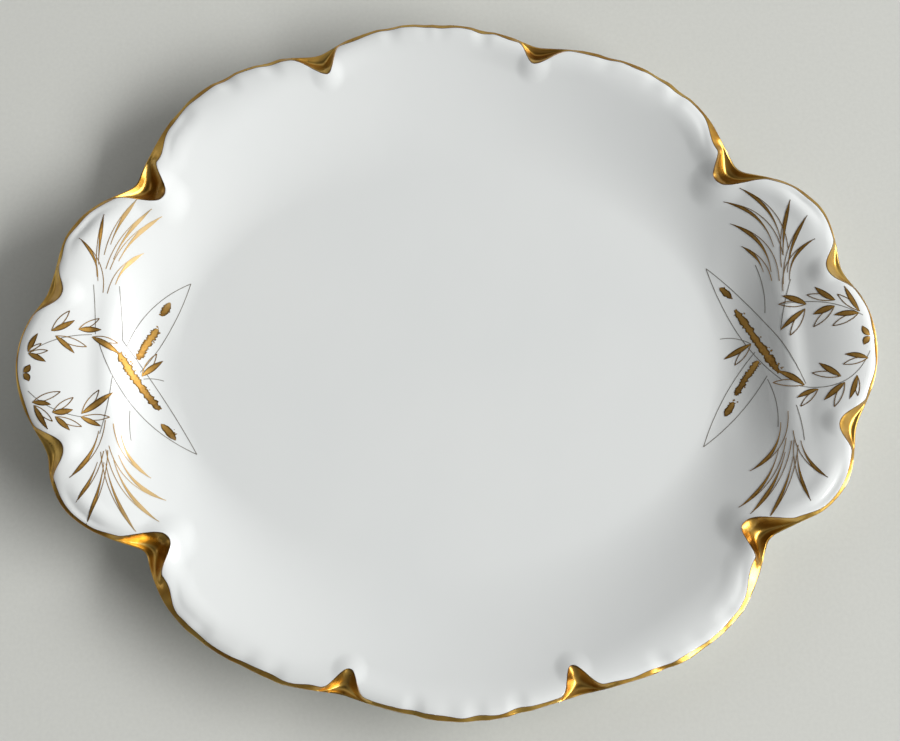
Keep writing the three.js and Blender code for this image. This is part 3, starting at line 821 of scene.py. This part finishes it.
# %% Pen line: thin grey-brown enamel, drawn with a nib, so it turns pale and dark every 4.2 mm
NIB_FILL = 4.2
pen, tree, shader = material("pen_enamel")
where = node(tree, "ShaderNodeTexCoord").outputs["Object"]
ink = node(tree, "ShaderNodeTexNoise", {"Vector": where, "Scale": scale(NIB_FILL)}).outputs[0]
inks = {SHARE: ink, FIRST: colour("#5E5A52"), SECOND: colour("#98948B")}
enamel = node(tree, "ShaderNodeMix", inks, data_type="RGBA").outputs[RESULT]
tree.links.new(enamel, shader.inputs["Base Color"])
shader.inputs["Roughness"].default_value = 0.3

# %% Painted board: matt, with a roller grain of 1.4 mm, a little coarser than a real one's, to show
ROLLER_GRAIN = 1.4
board, tree, shader = material("painted_board")
where = node(tree, "ShaderNodeTexCoord").outputs["Object"]
grainy = {"Vector": where, "Scale": scale(ROLLER_GRAIN), "Detail": 3.0}
grain = node(tree, "ShaderNodeTexNoise", grainy).outputs[0]
paints = {SHARE: grain, FIRST: colour("#CECFC9"), SECOND: colour("#D8D9D3")}
coat = node(tree, "ShaderNodeMix", paints, data_type="RGBA").outputs[RESULT]
tree.links.new(coat, shader.inputs["Base Color"])
shader.inputs["Roughness"].default_value = 0.75
print("materials", [m.name for m in (porcelain, gold, painted, pen, board)])


# %% Give every piece its finish and its place in the frame
def dress(piece, finish, smooth):
    piece.data.materials.clear()
    piece.data.materials.append(finish)
    for face in piece.data.polygons:
        face.material_index = 0
    bpy.ops.object.select_all(action="DESELECT")
    piece.select_set(True)
    bpy.context.view_layer.objects.active = piece
    bpy.ops.object.shade_smooth_by_angle(angle=math.radians(smooth))
    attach(piece, "root")


# edges that turn by more than this many degrees stay sharp
BODY_SMOOTH, GOLD_SMOOTH = 60, 50
dress(body, porcelain, BODY_SMOOTH)
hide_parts("porcelain_body")
for piece in gilt:
    dress(piece, gold, GOLD_SMOOTH)
    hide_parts(piece["node"])
for piece in paint:
    dress(piece, painted, GOLD_SMOOTH)
for piece in lines:
    dress(piece, pen, GOLD_SMOOTH)
print("pieces dressed", 1 + len(gilt) + len(paint) + len(lines))

# %% [markdown]
# ## Table, light and camera
#
# The platter lies on a pale board by a broad window at the right, a little to the front. A weak light
# at the left stands for a pale wall. The rest of the room is the world's colour: lit walls, a dark
# ceiling, and darker towards the front left, so that the gold has something to mirror. The camera
# looks down from nearly straight above, a little from the front left, and is turned a little.

# %% Table and light
# the walls' grey by height, from the floor at 0 to the ceiling at 1, and the way to the brightest wall
FLOOR_GREY, CEILING_GREY = 0.22, 0.1
WALL_GREYS = ((0.15, 0.32), (0.4, 0.47), (0.75, 0.42), (0.92, 0.12))
BRIGHT_WAY, DARKEST, BRIGHTEST = (0.86, 0.5, 0), 0.25, 1.6
bpy.ops.object.select_all(action="DESELECT")
bpy.ops.mesh.primitive_plane_add(size=4)
table = bpy.context.object
table.name = "table"
table.data.materials.append(board)
world = bpy.data.worlds.new("room")
bpy.context.scene.world = world
world.use_nodes = True
tree = world.node_tree
way = node(tree, "ShaderNodeTexCoord").outputs["Generated"]
height = node(tree, "ShaderNodeSeparateXYZ", {0: way}).outputs[2]
walls = node(tree, "ShaderNodeValToRGB", {0: height})
stops = walls.color_ramp.elements
stops[0].color = [FLOOR_GREY] * 3 + [1]
stops[1].color = [CEILING_GREY] * 3 + [1]
for place, grey in WALL_GREYS:
    stops.new(place).color = [grey] * 3 + [1]
facing = node(tree, "ShaderNodeVectorMath", {0: way, 1: BRIGHT_WAY}, operation="DOT_PRODUCT")
lit = {"Value": facing.outputs["Value"], "From Min": -1.0, "To Min": DARKEST, "To Max": BRIGHTEST}
room = node(tree, "ShaderNodeMapRange", lit).outputs[0]
tree.links.new(walls.outputs[0], tree.nodes["Background"].inputs["Color"])
tree.links.new(room, tree.nodes["Background"].inputs["Strength"])


def softbox(name, place, aim, width, height, watts):
    bpy.ops.object.light_add(type="AREA", location=place)
    lamp = bpy.context.object
    lamp.name = name
    lamp.rotation_euler = (Vector(aim) - Vector(place)).to_track_quat("-Z", "Y").to_euler()
    lamp.data.shape = "RECTANGLE"
    lamp.data.size = width
    lamp.data.size_y = height
    lamp.data.energy = watts


RIM_MIDDLE = (0, 0, 0.02)
softbox("window", (3.37, -0.78, 2.05), RIM_MIDDLE, width=5.0, height=1.4, watts=218)
softbox("pale_wall", (-3.0, 0.9, 1.6), RIM_MIDDLE, width=2.4, height=0.9, watts=5)

# %% Camera
# degrees, metres, and millimetres for the aim, the lens and the sensor
ELEVATION, AZIMUTH, ROLL, DISTANCE = 75.0, -12.0, 9.75, 0.8
AIM_UP, AIM_RIGHT, AIM_DOWN, LENS, SENSOR = 4, 0.4, 1.5, 89.0, 36
e, a, r = math.radians(ELEVATION), math.radians(AZIMUTH), math.radians(ROLL)
back = Vector((math.cos(e) * math.sin(a), -math.cos(e) * math.cos(a), math.sin(e)))
level = Vector((math.cos(a), math.sin(a), 0))
up = back.cross(level)
right_way = level * math.cos(r) + up * math.sin(r)
up_way = up * math.cos(r) - level * math.sin(r)
aim = Vector((0, 0, AIM_UP * MM)) + right_way * AIM_RIGHT * MM - up_way * AIM_DOWN * MM
bpy.ops.object.camera_add(location=aim + back * DISTANCE)
camera = bpy.context.object
camera.rotation_euler = Matrix((right_way, up_way, back)).transposed().to_euler()
camera.data.sensor_width = SENSOR
camera.data.lens = LENS
bpy.context.scene.camera = camera
bpy.context.scene.view_settings.view_transform = "Standard"
print("camera at", [round(v, 3) for v in camera.location])
